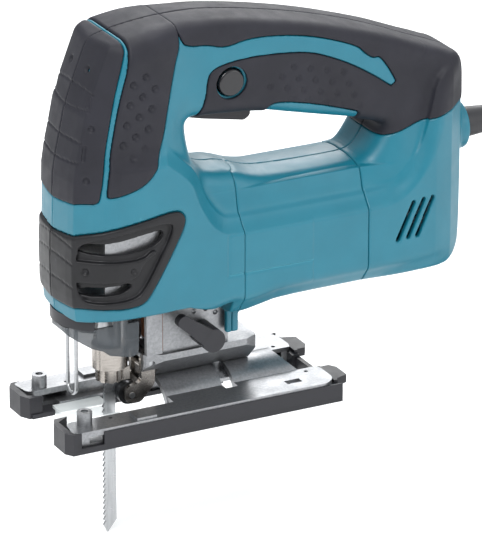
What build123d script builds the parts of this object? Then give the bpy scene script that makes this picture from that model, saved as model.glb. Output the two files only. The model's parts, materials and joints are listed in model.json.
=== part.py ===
"""Jigsaw with a D handle: every piece is written to its own STEP file, in millimetres.

The sole lies on Z = 0, the symmetry plane is Y = 0 and the plunger axis is X = 0. The blade points down,
the tool's front is towards -X, its left side is towards -Y, and the cord leaves towards +X.
"""

import math
import os

from build123d import *

os.makedirs("parts", exist_ok=True)

# ---- Driving dimensions, mm ----
WALL = 2.6
GRIP_SKIN = 1.1
GUARD_SKIN = 1.5
RIM_Z = 65.0
BARREL_FRONT, BARREL_REAR = 61.0, 132.0
BARREL_HALF = 32.5
MOTOR_Z = 90.0
BORE_R = 27.0
STROKE = 26.0
GEAR_MODULE, PINION_TEETH, GEAR_TEETH = 0.8, 7, 56
GEAR_Z = MOTOR_Z + GEAR_MODULE * (PINION_TEETH + GEAR_TEETH) / 2
ROD_R = 6.0
RUNNING_FIT = 0.04
YOKE_Z = GEAR_Z - STROKE / 2
CLAMP_R, SLEEVE_R = 7.6, 9.2
BLADE_TIP_Z = -64.4
BASE_FRONT, BASE_REAR, BASE_HALF, PLATE_TOP = -41.0, 114.4, 37.5, 11.5
TUNNEL_R, TUNNEL_WALL = 18.5, 3.0
V_LIFT = 16.6
PIVOT_X, PIVOT_Z = 18.2, 29.8
BOSS_X, BOSS_Y, BOSS_TOP = -27.0, 26.8, 18.5
ROLLER_X, ROLLER_Z, ROLLER_R = 9.0, 12.5, 6.0
LEVER_X, LEVER_Z = 45.5, 43.0
BUTTON_X, BUTTON_Z, BUTTON_R = 58.7, 177.4, 7.0
TRIGGER_PIN_X, TRIGGER_PIN_Z = 43.0, 164.0
CORD_R = 3.9
CORD_Z = 125.0
FLOOR_Z = -64.4
COIL_X, COIL_Y, COIL_MEAN_R = 272.0, -10.0, 43.0


# ---- Helpers ----
def box(x0, x1, y0, y1, z0, z1):
    return Pos((x0 + x1) / 2, (y0 + y1) / 2, (z0 + z1) / 2) * Box(x1 - x0, y1 - y0, z1 - z0)


def bar_x(x0, x1, y, z, radius):
    return Pos((x0 + x1) / 2, y, z) * Rot(0, 90, 0) * Cylinder(radius, x1 - x0)


def bar_y(y0, y1, x, z, radius):
    return Pos(x, (y0 + y1) / 2, z) * Rot(90, 0, 0) * Cylinder(radius, y1 - y0)


def bar_z(z0, z1, x, y, radius):
    return Pos(x, y, (z0 + z1) / 2) * Cylinder(radius, z1 - z0)


def outline(points, radii=0.0):
    if isinstance(radii, (int, float)):
        radii = [radii] * len(points)
    if max(radii) == 0:
        return make_face(Polyline(*points, close=True))
    return make_face(FilletPolyline(*points, radius=list(radii), close=True))


def side(face, y0, y1):
    return extrude(Plane.XZ.offset(-y1) * face, y1 - y0, dir=(0, -1, 0))


def plan(face, z0, z1):
    return extrude(Plane.XY.offset(z0) * face, z1 - z0, dir=(0, 0, 1))


def front(face, x0, x1):
    return extrude(Plane.YZ.offset(x0) * face, x1 - x0, dir=(1, 0, 0))


def mirrored(points):
    """Half of a cross-section, closed by its mirror image across the symmetry plane."""
    return list(points) + [(-a, b) for a, b in reversed(points)]


def mirrored_plan(points):
    """Half of a plan outline, closed by its mirror image across the symmetry plane."""
    return list(points) + [(a, -b) for a, b in reversed(points)]


def grown(face, amount):
    if amount == 0:
        return face
    return offset(face, amount=amount, kind=Kind.INTERSECTION)


def pair(shape):
    """A shape and its mirror image in the symmetry plane."""
    return shape + mirror(shape, Plane.XZ)


# ---- Housing envelope ----
HULL_SIDE = outline(
    [(-30.6, RIM_Z), (-32, 104), (-29, 150), (-12.5, 204.5), (36, 211), (112, 199), (196, 168.5),
     (199, 148), (197, 104), (192, 59), (66, 57.5), (57.5, RIM_Z)],
    [0, 90, 90, 14, 70, 90, 14, 30, 40, 12, 0, 0],
)
WINDOW = outline(
    [(34, 160.5), (38.5, 133.5), (60, 128.5), (75, 121), (130, 120), (150, 138), (113, 149.5), (78, 160)],
    [1.5, 3.5, 8, 10, 9, 2.5, 8, 1.5],
)
HULL_PLAN = outline(
    mirrored_plan([(-31.8, -7), (-28.4, -19), (-16, -28.4), (2, -32.6), (158, -32.6), (181, -24),
                   (199.5, -9)]),
    [6, 14, 18, 60, 30, 16, 8, 8, 16, 30, 60, 18, 14, 6],
)
NOSE_SECTION = outline(
    mirrored([(31, 58), (32.5, 80), (32.5, 108), (27.5, 146), (26.5, 186), (16, 212)]),
    [0, 40, 40, 60, 16, 14, 14, 16, 60, 40, 40, 0],
)
BARREL_SECTION = outline(
    mirrored([(20, 57), (32.5, 74), (32.5, 106.3), (25, 115), (10, 121.5)]),
    [4, 6, 6, 6, 8, 8, 6, 6, 6, 4],
)
HANDLE_SECTION = outline(
    mirrored([(24, 104), (21, 140), (19.5, 188), (10, 212)]),
    [0, 40, 14, 8, 8, 14, 40, 0],
)
REAR_SECTION = outline(
    mirrored([(20, 57), (32.5, 74), (32.5, 108), (22, 140), (19.5, 188), (10, 212)]),
    [4, 6, 20, 40, 14, 8, 8, 14, 40, 20, 6, 4],
)


def envelope(amount):
    """The housing's outer form, grown by the amount or shrunk when the amount is negative."""
    nose = front(grown(NOSE_SECTION, amount), -40, 33 + amount)
    barrel = front(grown(BARREL_SECTION, amount), 20, 150)
    shoulder = front(grown(NOSE_SECTION, amount), 20, 61) & box(0, 80, -50, 50, 50, 136)
    handle = front(grown(HANDLE_SECTION, amount), 25, 150)
    rear = front(grown(REAR_SECTION, amount), 138 - amount, 210)
    body = (nose + shoulder + barrel + handle + rear) & side(grown(HULL_SIDE, amount), -45, 45)
    body = body & plan(grown(HULL_PLAN, amount), 40, 230)
    return body - side(grown(WINDOW, -amount), -45, 45)


OUTER = envelope(0)
INNER = envelope(-WALL)
RIM_OPENING = plan(grown(HULL_PLAN, -WALL), RIM_Z - 10, RIM_Z + 8) & box(-40, 57, -40, 40, 50, 80)
BARREL_BOX = box(BARREL_FRONT, BARREL_REAR, -40, 40, 40, 128)

SCREW_SPOTS = [(-19, 150), (44, 196), (126, 176), (180, 152), (176, 76), (150, 128)]

shell = OUTER - INNER - RIM_OPENING
legs = pair(box(57.6, 63.2, -17.4, -14.2, 41, 62) + box(60.2, 66, -17.4, -14.2, 52, 62))
shell = shell + (legs & box(57, 61, -20, 20, 40, 70))
bosses = Part()
for spot_x, spot_z in SCREW_SPOTS:
    bosses += bar_y(-40, 40, spot_x, spot_z, 4.2)
shell = shell + (bosses & INNER)
collar = bar_x(188, 201.6, 0, CORD_Z, 13) - bar_x(180, 210, 0, CORD_Z, 8.6)
shell = shell - bar_x(180, 210, 0, CORD_Z, 8.6) + collar
shell = shell - box(36, 78.2, -8.4, 8.4, 146, 168)
for spot_x, spot_z in SCREW_SPOTS:
    shell = shell - bar_y(-22, 40, spot_x, spot_z, 1.6)
    shell = shell - bar_y(12, 40, spot_x, spot_z, 3.4)
VENT_SLOTS = [(153.7, 89.7), (159.8, 90.2), (165.4, 90.1)]
for vent_x, vent_z in VENT_SLOTS:
    slot = Pos(vent_x, 0, vent_z) * Rot(0, 26, 0) * Box(2.6, 90, 23)
    shell = shell - slot
NOSE_VENTS = [(74.5, 85.5), (92.5, 107.5)]
for vent_low, vent_high in NOSE_VENTS:
    shell = shell - box(-24, 12, -40, 40, vent_low, vent_high)
shell = shell - BARREL_BOX - bar_y(-17, 17, TRIGGER_PIN_X, TRIGGER_PIN_Z, 2)
button_hole = bar_y(-40, -10, BUTTON_X, BUTTON_Z, BUTTON_R + 0.5)

housing_left = (shell & box(-60, 230, -60, 0, 0, 250)) - button_hole
housing_right = shell & box(-60, 230, 0, 60, 0, 250)

# ---- Motor housing: a tube that closes both ends of the motor ----
motor_housing = OUTER & BARREL_BOX & box(BARREL_FRONT, BARREL_REAR, -40, 40, 40, 127.9)
motor_housing = motor_housing + (legs & box(61, 66, -20, 20, 40, 59))
motor_housing = motor_housing - bar_x(60, 126, 0, MOTOR_Z, BORE_R)
motor_housing = motor_housing - bar_x(120, 140, 0, MOTOR_Z, 9.5)
for turn in range(4):
    angle = math.radians(45 + 90 * turn)
    vent = bar_x(120, 140, 18.5 * math.cos(angle), MOTOR_Z + 18.5 * math.sin(angle), 4.5)
    motor_housing = motor_housing - vent

# ---- Soft grips and the vent guard: skins outside the shells ----
SKIN = envelope(GRIP_SKIN) - OUTER
GUARD = envelope(GUARD_SKIN) - OUTER
nose_region = side(
    outline([(-40, 118.5), (-8, 118.5), (4, 134), (17, 153), (30, 203), (33, 220), (-40, 220)]), -45, 45)
handle_region = side(
    outline([(33.2, 220), (30.2, 203), (33.2, 163), (80, 161.2), (152, 139), (160, 146), (205, 150),
             (205, 220)]), -45, 45)
guard_region = side(
    outline([(-40, 66.2), (8.9, 66.2), (14.5, 71.7), (25.9, 101.9), (28.7, 111), (24.8, 115.5),
             (-40, 116.5)], [0, 4, 4, 10, 3, 3, 0]), -45, 45)
guard_vents = Part()
for vent_low, vent_high in NOSE_VENTS:
    guard_vents += box(-24, 12, -45, 45, vent_low, vent_high)
NEAR, FAR = box(-60, 230, -60, 0, 0, 250), box(-60, 230, 0, 60, 0, 250)
nose_skin = SKIN & nose_region
handle_skin = SKIN & handle_region
guard_skin = (GUARD & guard_region) - guard_vents
screw_holes = Part()
for spot_x, spot_z in SCREW_SPOTS:
    screw_holes += bar_y(0, 60, spot_x, spot_z, 4.4)
nose_grip_left = nose_skin & NEAR
nose_grip_right = (nose_skin & FAR) - screw_holes
handle_grip_left = (handle_skin & NEAR) - bar_y(-40, -10, BUTTON_X, BUTTON_Z, BUTTON_R + 1.2)
handle_grip_right = (handle_skin & FAR) - screw_holes
vent_guard_left = guard_skin & NEAR
vent_guard_right = guard_skin & FAR

# ---- Housing screws, driven in from the right side ----
housing_screws = Part()
for spot_x, spot_z in SCREW_SPOTS:
    screw = bar_y(-15, 12, spot_x, spot_z, 1.6) + bar_y(12, 14.6, spot_x, spot_z, 3.1)
    housing_screws += screw - bar_y(13.2, 20, spot_x, spot_z, 1.2)

# ---- Gear housing ----
gear_block = fillet(box(-14, 36, -27, 27, 88, 142).edges().filter_by(Axis.X), 8)
gear_block = gear_block + box(-14, 28, -25, 25, 70, 90) + box(-14, 56, -15.5, 15.5, 68, 90)
gear_block = gear_block + box(33, 56, -13, 13, 80, 105) + box(-12, 12, -12, 12, 141, 158)
gear_block = gear_block + bar_x(33, 50, 0, GEAR_Z, 9)
gear_housing = gear_block & envelope(-WALL - 0.4)
gear_housing = gear_housing + box(-12, 56, -15.5, 15.5, 68, 72)
gear_housing = gear_housing + pair(box(14.5, 23.4, -13.5, -11, 35, 69)) + box(24, 56, -13, 13, 66, 69)
gear_housing = gear_housing - bar_x(14.5, 33.4, 0, GEAR_Z, 24.4) - box(-9, 15, -22.5, 22.5, 92, 140)
gear_housing = gear_housing - bar_x(20, 46, 0, MOTOR_Z, 5.6) - bar_x(45, 60, 0, MOTOR_Z, 11)
gear_housing = gear_housing - bar_x(33, 60, 0, GEAR_Z, 5)
gear_housing = gear_housing - bar_z(60, 170, 0, 0, ROD_R + 0.8)
gear_housing = gear_housing - bar_z(70, 82, 0, 0, 9)
gear_housing = gear_housing - bar_z(146, 160, 0, 0, 9) - pair(box(-7, 3, -18.1, -15.6, 60, 86))
bushing = bar_z(70, 82, 0, 0, 9) - bar_z(69, 83, 0, 0, ROD_R + RUNNING_FIT)
plunger_bushings = bushing + (bar_z(146, 158, 0, 0, 9) - bar_z(145, 159, 0, 0, ROD_R + RUNNING_FIT))
gear_shaft = bar_x(22.6, 50, 0, GEAR_Z, 5)

# ---- Base bracket: flange, ears and the block that carries the orbit cam ----
flange_plan = outline([(14, -10.5), (24, -14.5), (71, -14.5), (78, -11), (78, 11), (71, 14.5), (24, 14.5),
                       (14, 10.5)], [3, 3, 3, 2, 2, 3, 3, 3])
bracket = plan(flange_plan, 18, 34.6)
bracket_side = outline([(24.2, 30), (24.2, 66), (52, 66), (61, 56), (61, 30)], [0, 0, 6, 4, 0])
bracket = bracket + side(bracket_side, -12.5, 12.5)
foot_line = outline([(0, V_LIFT), (60, V_LIFT + 60), (60, -10), (-60, -10), (-60, V_LIFT + 60)])
foot_hollow = front(foot_line, 0, 90)
bracket = bracket - foot_hollow - bar_x(0, 90, 0, 0, TUNNEL_R + 0.35)
bracket = bracket - box(0, 24.2, -7.9, 7.9, 0, 60)
ear = bar_y(-10.5, -8, PIVOT_X, PIVOT_Z, 4) - foot_hollow
bracket = bracket + pair(ear) - bar_y(-20, 20, PIVOT_X, PIVOT_Z, 1.5)
bracket = bracket - bar_y(-20, 9, LEVER_X, LEVER_Z, 4.05) - bar_z(0, 32, 60, 0, 3)
for angle in (108, 76, 46):
    dot_x = LEVER_X + 12 * math.cos(math.radians(angle))
    dot_z = LEVER_Z + 12 * math.sin(math.radians(angle))
    bracket = bracket - Pos(dot_x, -13.3, dot_z) * Sphere(1.6)
base_bracket = bracket
bracket_gasket = box(23.4, 24.2, -12.5, 12.5, 36, 66) - box(20, 26, -7.9, 7.9, 30, 60)
fork_pivot = bar_y(-11.1, 11.1, PIVOT_X, PIVOT_Z, 1.5)

# ---- Base bolt and its clamp shoe inside the tunnel ----
shoe_wedge = front(outline([(0, 0), (14, 20), (-14, 20)]), 52, 68)
shoe = (bar_x(52, 68, 0, 0, TUNNEL_R - TUNNEL_WALL - 0.35) - bar_x(50, 70, 0, 0, 11.6)) & shoe_wedge
bolt_head = plan(Pos(60, 0) * RegularPolygon(5, 6), 7.6, 12) - bar_z(5, 10.5, 60, 0, 2.4)
base_bolt = shoe + bar_z(10, 32, 60, 0, 3) + bolt_head

# ---- Motor ----
front_bearing = bar_x(47, 55, 0, MOTOR_Z, 11) - bar_x(46, 56, 0, MOTOR_Z, 4)
rear_bearing = bar_x(126, 132, 0, MOTOR_Z, 9.5) - bar_x(125, 133, 0, MOTOR_Z, 4)


def toothed(teeth, levels):
    """A closed outline of equal teeth, from (radius, half width) pairs running from root to tip."""
    points = []
    for tooth in range(teeth):
        middle = 2 * math.pi * tooth / teeth
        for radius, half in levels:
            turn = middle - half / radius
            points.append((radius * math.cos(turn), radius * math.sin(turn)))
        for radius, half in reversed(levels):
            turn = middle + half / radius
            points.append((radius * math.cos(turn), radius * math.sin(turn)))
    return make_face(Polyline(*points, close=True))


pinion_face = toothed(PINION_TEETH, [(1.85, 0.4), (2.6, 0.5), (3.0, 0.42), (3.4, 0.22)])
gear_face = toothed(GEAR_TEETH, [(21.4, 0.86), (22.4, 0.52), (23.0, 0.28)])
half_pitch = 180 / GEAR_TEETH
pinion = front(Pos(0, MOTOR_Z) * Rot(0, 0, 90) * pinion_face, 22.5, 32.5)
armature_shaft = pinion + bar_x(32.5, 47, 0, MOTOR_Z, 3.4) + bar_x(47, 133.5, 0, MOTOR_Z, 4)
core = bar_x(74, 104, 0, MOTOR_Z, 16.8)
for turn in range(12):
    angle = 2 * math.pi * turn / 12
    slot = bar_x(70, 110, 12.5 * math.cos(angle), MOTOR_Z + 12.5 * math.sin(angle), 2)
    mouth = Pos(0, 0, MOTOR_Z) * Rot(math.degrees(angle), 0, 0) * box(70, 110, 12, 18, -0.8, 0.8)
    core = core - slot - mouth
armature_core = core - bar_x(70, 110, 0, MOTOR_Z, 4)
winding = bar_x(69.8, 74, 0, MOTOR_Z, 14.6) + bar_x(104, 109, 0, MOTOR_Z, 14.6)
winding = fillet(winding.edges().filter_by(GeomType.CIRCLE), 1.5)
armature_windings = winding - bar_x(60, 120, 0, MOTOR_Z, 4)
commutator = bar_x(111, 121, 0, MOTOR_Z, 10)
for turn in range(12):
    commutator = commutator - (Pos(0, 0, MOTOR_Z) * Rot(30 * turn, 0, 0) * box(110, 120, 9, 11, -0.3, 0.3))
commutator = commutator - bar_x(105, 125, 0, MOTOR_Z, 4)
fan = bar_x(66.6, 68.4, 0, MOTOR_Z, 25.4) + bar_x(62.4, 68.4, 0, MOTOR_Z, 7)
for turn in range(14):
    blade = Pos(0, 0, MOTOR_Z) * Rot(turn * 360 / 14, 0, 0) * box(62.4, 66.8, 12, 25, -0.7, 0.7)
    fan = fan + blade
cooling_fan = fan - bar_x(60, 70, 0, MOTOR_Z, 4)

field_core = bar_x(74, 104, 0, MOTOR_Z, BORE_R) - bar_x(70, 110, 0, MOTOR_Z, 17.4)
coil_pocket = pair(box(70, 110, -23.4, -10, MOTOR_Z - 8, MOTOR_Z + 8))
field_core = field_core - coil_pocket
coil_ring = pair(box(70, 108, -23.2, -18, MOTOR_Z - 7.6, MOTOR_Z + 7.6))
field_coils = coil_ring & (bar_x(60, 120, 0, MOTOR_Z, 26) - bar_x(60, 120, 0, MOTOR_Z, 17.8))
brush_holders = pair(box(111.5, 120.5, -26.4, -11.2, MOTOR_Z - 4.4, MOTOR_Z + 4.4))
brush_holders = brush_holders - box(113, 119, -26, 26, MOTOR_Z - 3, MOTOR_Z + 3)
carbon_brushes = pair(box(113, 119, -22, -10.15, MOTOR_Z - 3, MOTOR_Z + 3))

# ---- Crank gear ----
gear = front(Rot(0, 0, -90 + half_pitch) * gear_face, 24, 31) + bar_x(31, 33, 0, 0, 9)
gear = gear - bar_x(20, 50, 0, 0, 5 + RUNNING_FIT)
crank_hole = bar_x(20, 40, 0, -STROKE / 2, 2.5)
drive_gear = Pos(0, 0, GEAR_Z) * (gear - crank_hole)
crank = bar_x(14.2, 21.6, 0, -STROKE / 2, 5.4) + bar_x(21.6, 31, 0, -STROKE / 2, 2.5)
crank_roller = Pos(0, 0, GEAR_Z) * crank

# ---- Plunger, clamp and blade ----
yoke = box(3, 13.7, -21.5, 21.5, YOKE_Z - 8.8, YOKE_Z + 8.8)
yoke = yoke - box(7, 20, -19, 19, YOKE_Z - 5.8, YOKE_Z + 5.8)
rod = bar_z(41, 160, 0, 0, ROD_R)
plunger_rod = rod + fillet(yoke.edges().filter_by(Axis.X), 2)
clamp = bar_z(28, 41, 0, 0, CLAMP_R) + bar_z(21, 28, 0, 0, 6.6)
for turn in range(10):
    clamp = clamp + (Rot(0, 0, 36 * turn) * box(6, 7.2, -1.1, 1.1, 21, 27.6))
clamp = clamp + box(4, 9.2, -4.5, 4.5, 20.5, 27.4)
blade_clamp = clamp - box(-3.6, 3.6, -0.62, 0.62, 10, 36)
sleeve_face = Circle(SLEEVE_R) - Circle(CLAMP_R + RUNNING_FIT)
sleeve = plan(sleeve_face, 28.3, 40.6)
sleeve = sleeve - Rot(0, 0, -118) * box(8.7, 12, -8, 8, 28, 37.5)
clamp_sleeve = sleeve + (box(-3, 3, 8.6, 12.5, 37.5, 40.6) - bar_z(30, 50, 0, 0, CLAMP_R + 1))

teeth_points = []
BLADE_BACK, BLADE_GULLET, TOOTH_PITCH = 2.9, -3.1, 3.0
tooth_total = 23
for tooth in range(tooth_total):
    low = 8 - tooth * TOOTH_PITCH
    teeth_points += [(BLADE_GULLET, low), (-4.4, low - 2.2), (-3.9, low - 2.6)]
blade_outline = [(-3.4, 20.8), (-3.4, 34), (BLADE_BACK, 34), (BLADE_BACK, -58), (-2.2, BLADE_TIP_Z)]
teeth_points.reverse()
saw_blade = side(outline(blade_outline + teeth_points + [(-3.4, 10)]), -0.6, 0.6)

# ---- Clamp opener, dust cover and wire guard ----
OPENER_X, OPENER_Y = -6.0, 22.0
band = plan(Pos(-5, 0) * (Circle(25.4) - Circle(22.0)), 58, 64.4)
band_cut = plan(outline([(-5, 0), (-5, 40), (-60, 40), (-60, -32), (-22, -27)]), 50, 70)
opener_lug = bar_z(58, 64.4, OPENER_X, OPENER_Y + 1.5, 3.4)
clamp_opener = (band & band_cut) + opener_lug - bar_z(50, 70, OPENER_X, OPENER_Y + 1.5, 1.5 + RUNNING_FIT)
opener_pin = bar_z(57.4, 70, OPENER_X, OPENER_Y + 1.5, 1.5)

cover_side = outline([(-31, 57), (-27, 52.5), (-18, 47), (-12, 44.5), (-8, 41.3), (3.6, 38.4), (8, 39.4),
                      (8.4, 57)], [0, 3, 6, 3, 3, 3, 2, 0])
cover_plan = outline([(-29, -7), (-20, -17.6), (9, -17.6), (9, 17.6), (-20, 17.6), (-29, 7)],
                     [6, 9, 0, 0, 9, 6])
cover_wall = plan(cover_plan, 30, 60) - plan(grown(cover_plan, -1.5) + Pos(9, 0) * Rectangle(6, 32.2), 29, 61)
rails = pair(box(-6, 2, -17.6, -16.1, 56, 84))
dust_cover = (cover_wall & side(cover_side, -30, 30)) + rails
leg_points = [(-21, -5, 66), (-21, -5, 20), (-21, 0, 16.2), (-21, 5, 20), (-21, 5, 66)]
leg_path = FilletPolyline(*leg_points, radius=3.2)
wire_guard = sweep(Plane(leg_path @ 0, z_dir=leg_path % 0) * Circle(1.0), path=leg_path)
wire_guard = wire_guard + box(-22.4, -14, -6.5, 6.5, 66, 70)

# ---- Roller and its arm ----
arm_side = outline(
    [(14.4, 33.6), (22, 33.6), (22, 16.6), (14, 7.9), (5.2, 7.9), (5.2, 17.2), (14.4, 18.6)],
    [3.6, 3.6, 5, 4, 4, 4, 3])
arm_bridge = side(outline([(15.6, 17), (22, 17), (22, 27), (15.6, 27)], 1.5), -5, 5)
arm = pair(side(arm_side, -7.4, -4.6)) + arm_bridge
roller_arm = arm - bar_y(-10, 10, PIVOT_X, PIVOT_Z, 1.5 + RUNNING_FIT)
roller_arm = roller_arm - bar_y(-10, 10, ROLLER_X, ROLLER_Z, 1.6)
roller_pin = bar_y(-7.9, 7.9, ROLLER_X, ROLLER_Z, 1.6)
roller_half = outline([(-4.2, 1.64), (-4.2, 6), (-1.6, 6), (-0.9, 5.1), (0.9, 5.1), (1.6, 6), (4.2, 6),
                       (4.2, 1.64)])
roller = Pos(ROLLER_X, 0, ROLLER_Z) * (Rot(0, 0, 90) * revolve(roller_half, Axis.X))

# ---- Orbit lever ----
lever_turn = Rot(0, -142, 0)
lever_arm_plan = outline([(-5, -5.5), (14, -3.6), (24.5, -3.2), (24.5, 3.2), (14, 3.6), (-5, 5.5)],
                         [4, 6, 3, 3, 6, 4])
lever_arm = side(lever_arm_plan, -28, -23.6)
lever_hub = bar_y(-28, -13.2, 0, 0, 6.2) + bar_y(-13.2, 8.6, 0, 0, 4)
lever_cam = lever_hub - box(-10, 10, 0, 6, 2.4, 10)
orbit_lever = Pos(LEVER_X, 0, LEVER_Z) * lever_turn * (lever_arm + lever_cam)

# ---- Handle controls ----
trigger_side = outline(
    [(39.5, 158), (49, 155.6), (72.5, 151), (76, 153), (76, 163), (70, 167.6), (40, 167.6)],
    [2, 12, 3, 3, 3, 3, 2])
trigger = side(trigger_side, -8, 8) - bar_y(-10, 10, TRIGGER_PIN_X, TRIGGER_PIN_Z, 2 + RUNNING_FIT)
trigger_pin = bar_y(-17, 17, TRIGGER_PIN_X, TRIGGER_PIN_Z, 2)
trigger_switch = box(66.5, 98, -9, 9, 174.6, 190) + box(98, 106, -7, 7, 177, 187)
lock_button = bar_y(-22, -10.2, BUTTON_X, BUTTON_Z, BUTTON_R)
lock_button = fillet(lock_button.edges().sort_by(Axis.Y)[0], 1.2) + bar_y(-10.2, -9.4, BUTTON_X, BUTTON_Z, 4)
noise_capacitor = bar_x(112, 134, 0, 164, 6)

# ---- Base ----
horn = outline([(22, -36.8), (-36, -36.8), (-37.5, -34), (-35.5, -22), (-24, -22.4), (22, -22.4)],
               [0, 3, 3, 4, 3, 0])
flat_rear = outline([(22, -36.8), (112, -36.8), (112, -12), (96, -10), (25, -10), (25, -22.4), (22, -22.4)],
                    [0, 9, 8, 3, 0, 0, 0])
plate = plan(horn + flat_rear, 8.4, PLATE_TOP)
plate = pair(plate) - bar_x(20, 120, 0, 0, TUNNEL_R)
skirt = plan(outline([(22, -34.8), (-35, -34.8), (-35, -22.6), (22, -22.6)], [0, 4, 4, 0]), 2.4, 8.6)
skirt = skirt - box(-28, -13.5, -40, -20, 4.2, 8.4) - box(-33, -30, -32, -25, 0, 8)
skirt = skirt - box(-10, 20, -32, -25, 0, 8)
skirt = skirt + box(22, 110, -34.8, -31.6, 2.4, 8.6) + box(106.8, 110, -34.8, -16, 2.4, 8.6)
boss = bar_z(10, BOSS_TOP, BOSS_X, -BOSS_Y, 3.9) + box(-2, 9, -36, -26.5, 11, 13)
plate = plate + pair(skirt + boss)
shelf = box(-20, 22, -22.8, -17.6, 2.4, 5)
shelf = shelf - box(-12, 22, -17.9, -10, 0, 10)
ridge = bar_x(24.5, 101, 0, 0, TUNNEL_R) - bar_x(20, 110, 0, 0, TUNNEL_R - TUNNEL_WALL)
ridge = ridge & box(20, 110, -20, 20, 2.4, 30)
ridge_end = side(outline([(91, 20), (104, 20), (104, 8)]), -30, 30)
ridge = ridge - ridge_end
bolt_slot = front(outline([(0, 0), (30, 18), (30, 40), (-30, 40), (-30, 18)]), 56.6, 63.4)
plate = plate + pair(shelf) + ridge - bolt_slot
drills = bar_z(12, 20, BOSS_X, -BOSS_Y, 1.9) + bar_z(0, 20, -12.2, -26, 1.1) + bar_z(0, 20, 103.1, -18.2, 1.1)
drills = drills + box(87, 95.5, -29, -24.6, 10.2, 14)
base_plate = plate - pair(drills)

sheet = box(-37, 112, -35.4, -13.6, 0, 2.4)
rail = plan(outline([(-21, -BASE_HALF), (BASE_REAR, -BASE_HALF), (BASE_REAR, -35.2), (-21, -35.2)]), 0, 10)
rail = rail - box(-30, 120, -36.8, -30, 8.3, 12)
low_lip = box(-37, -21, -BASE_HALF, -35.2, 0, 3.2)
cap = plan(outline([(-38.2, -BASE_HALF), (-33.6, -BASE_HALF), (-33.6, -34.8), (-37.6, -33), (-37.6, -19),
                    (-31, -14.5), (-38.2, -14.5), (BASE_FRONT, -20), (BASE_FRONT, -33)]), 0, 11.5)
rear_wall = box(110, BASE_REAR, -36.4, -10, 0, 8.3) + box(112.4, BASE_REAR, -32, -12, 0, 10)
rear_wall = rear_wall - box(100, 110.1, -40, 0, 2.4, 12)
hook_line = outline([(BASE_REAR - 1, -31), (BASE_REAR - 1, -13), (119, -13), (121.5, -17), (121.5, -28)])
hook = plan(hook_line, 5.5, 10)
cover = pair(sheet + rail + low_lip + cap + rear_wall + hook) + box(112, BASE_REAR, -12, 12, 0, 7)
cover = cover - box(-24.5, 8.5, -15, 15, -1, 5)
base_cover = cover - bar_z(-1, 3, -12.2, -26, 1.1) - bar_z(-1, 3, -12.2, 26, 1.1) - base_plate

guard_shape = box(-24, 2.4, -17.4, 17.4, 2.45, 4) + box(-24, 2.4, -14.6, 14.6, 0.4, 2.6)
guard_v = front(outline([(1.4, 0), (7.4, 6), (-7.4, 6), (-1.4, 0)]), -40, 30)
splinter_guard = guard_shape - guard_v
splinter_guard = splinter_guard + box(-24, -20.5, -6.5, 6.5, 0.4, 2.4)
socket = plan(Pos(BOSS_X, -BOSS_Y) * RegularPolygon(1.2, 6), 15.2, 18)
fence_screws = pair(bar_z(12, BOSS_TOP - 1, BOSS_X, -BOSS_Y, 1.9) - socket)

# ---- Cord, its guard, coil, tie and plug ----
guard_profile = outline([(188, 0), (188, 8.5), (201.8, 8.5), (201.8, 8.25), (216, 7.1), (250, 5.4), (250, 0)])
cord_guard = Pos(0, 0, CORD_Z) * revolve(guard_profile, Axis.X)
cord_clamp = box(176, 186, -14, 14, CORD_Z - 11, CORD_Z - 4.2)
cord_clamp = cord_clamp + box(176, 186, -14, 14, CORD_Z + 4.2, CORD_Z + 9)

COIL_BASE = FLOOR_Z + 1.1
OUTER_TURN_R = COIL_MEAN_R + CORD_R + 0.05
FLOOR_CORD_Z = COIL_BASE + CORD_R + 0.1
ENTRY_X, ENTRY_Y = COIL_X + OUTER_TURN_R, 1.0
CORD_ROUTE = [
    (250, 0, CORD_Z), (282, 0, CORD_Z), (310, 8, 114), (326, 24, 90), (331, 42, 56), (331, 60, 22),
    (327, 68, -14), (ENTRY_X, 48, FLOOR_CORD_Z), (ENTRY_X, ENTRY_Y, FLOOR_CORD_Z),
]
route = [Vector(*point) for point in CORD_ROUTE]
cord_radii = []
for before, corner, after in zip(route, route[1:], route[2:]):
    half_turn = math.radians((corner - before).get_angle(after - corner)) / 2
    shorter = min((corner - before).length, (after - corner).length)
    cord_radii.append(0.45 * shorter / math.tan(half_turn))
cord_path = FilletPolyline(*CORD_ROUTE, radius=cord_radii)
power_cord = sweep(Plane(cord_path @ 0, z_dir=cord_path % 0) * Circle(CORD_R), path=cord_path)
print("cord radii", [round(radius) for radius in cord_radii], "length", round(cord_path.length, 1))
print("cord volume", round(power_cord.volume), "expected", round(math.pi * CORD_R**2 * cord_path.length))

LAYERS, COIL_HALF = 4, 2 * CORD_R + 0.2
COIL_TOP = COIL_BASE + LAYERS * 2 * (CORD_R + 0.05)
coil_ring = bar_z(COIL_BASE, COIL_TOP, 0, 0, COIL_MEAN_R + COIL_HALF)
coil_ring = coil_ring - bar_z(COIL_BASE - 1, COIL_TOP + 1, 0, 0, COIL_MEAN_R - COIL_HALF)
tail_ring = bar_z(COIL_TOP, COIL_TOP + 12.2, 0, 0, COIL_MEAN_R + 4)
tail_ring = tail_ring - bar_z(COIL_TOP - 1, COIL_TOP + 14, 0, 0, COIL_MEAN_R - 4)
TAIL_ANGLE = 90
tail_gap = plan(outline([(0, 0), (90, 0), (90, 90), (90 * math.cos(math.radians(TAIL_ANGLE)),
                                                     90 * math.sin(math.radians(TAIL_ANGLE)))]), -70, 0)
entry_stub = bar_y(6, ENTRY_Y - COIL_Y, OUTER_TURN_R, FLOOR_CORD_Z, CORD_R)
cord_coil = Pos(COIL_X, COIL_Y) * (coil_ring + (tail_ring - tail_gap) + entry_stub)

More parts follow.
